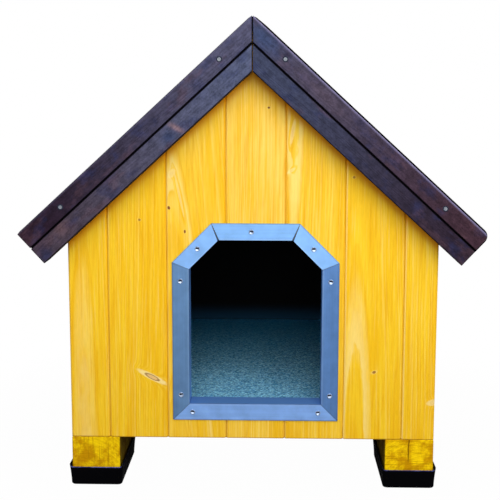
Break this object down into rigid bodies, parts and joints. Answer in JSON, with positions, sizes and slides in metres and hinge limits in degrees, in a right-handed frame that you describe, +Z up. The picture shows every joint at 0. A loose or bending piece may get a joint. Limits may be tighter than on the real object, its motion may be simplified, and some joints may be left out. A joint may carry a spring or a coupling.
{
  "type": "dog house",
  "caption": "Insulated wooden dog house with a pitched lift-off roof, an angle-edged doorway with cut upper corners, and timber feet in flared shoes.",
  "frame": {"origin": "on the ground, under the middle of the house", "axes": "+Z up, the doorway faces -Y, +X to the right as seen from the front"},
  "size_m": [0.8728, 0.89, 0.8994],
  "materials": {
    "yellow_board": "spruce boards under a satin yellow glaze, grain and knots showing",
    "walnut_trim": "satin dark walnut stain with a cold sheen",
    "film_ply": "plywood with a dark brown phenolic film",
    "raw_spruce": "planed bare spruce",
    "foot_timber": "sawn spruce under yellow glaze, rough",
    "aluminium_angle": "mill-finish aluminium, satin",
    "felt": "bitumen felt with fine mineral grit",
    "carpet": "short needle-felt carpet, speckled teal grey",
    "shoe": "black moulded plastic, satin"
  },
  "bodies": {
    "house": {"back_board_1": "yellow_board", "back_board_2": "yellow_board", "back_board_3": "yellow_board", "back_board_4": "yellow_board", "back_board_5": "yellow_board", "back_board_6": "yellow_board", "back_board_7": "yellow_board", "back_inner_panel": "film_ply", "back_left_foot": "foot_timber", "back_left_shoe": "shoe", "back_right_foot": "foot_timber", "back_right_shoe": "shoe", "carpet": "carpet", "door_angle_head": "aluminium_angle", "door_angle_left": "aluminium_angle", "door_angle_right": "aluminium_angle", "door_angle_sill": "aluminium_angle", "door_angle_upper_left": "aluminium_angle", "door_angle_upper_right": "aluminium_angle", "floor_panel": "raw_spruce", "front_board_1": "yellow_board", "front_board_2": "yellow_board", "front_board_3": "yellow_board", "front_board_4_lower": "yellow_board", "front_board_4_upper": "yellow_board", "front_board_5": "yellow_board", "front_board_6": "yellow_board", "front_board_7": "yellow_board", "front_inner_panel": "film_ply", "front_left_foot": "foot_timber", "front_left_shoe": "shoe", "front_right_foot": "foot_timber", "front_right_shoe": "shoe", "left_board_1": "yellow_board", "left_board_2": "yellow_board", "left_board_3": "yellow_board", "left_board_4": "yellow_board", "left_board_5": "yellow_board", "left_board_6": "yellow_board", "left_board_7": "yellow_board", "left_inner_panel": "film_ply", "right_board_1": "yellow_board", "right_board_2": "yellow_board", "right_board_3": "yellow_board", "right_board_4": "yellow_board", "right_board_5": "yellow_board", "right_board_6": "yellow_board", "right_board_7": "yellow_board", "right_inner_panel": "film_ply"},
    "roof": {"back_left_lath": "walnut_trim", "back_left_rafter": "walnut_trim", "back_right_lath": "walnut_trim", "back_right_rafter": "walnut_trim", "front_left_lath": "walnut_trim", "front_left_rafter": "walnut_trim", "front_right_lath": "walnut_trim", "front_right_rafter": "walnut_trim", "left_deck": "raw_spruce", "right_deck": "raw_spruce", "roof_felt": "felt"}
  },
  "joints": [
    {"name": "roof_lift", "type": "slide", "parent": "house", "child": "roof", "axis": [0, 0, 1], "range_m": [0, 0.4]}
  ]
}
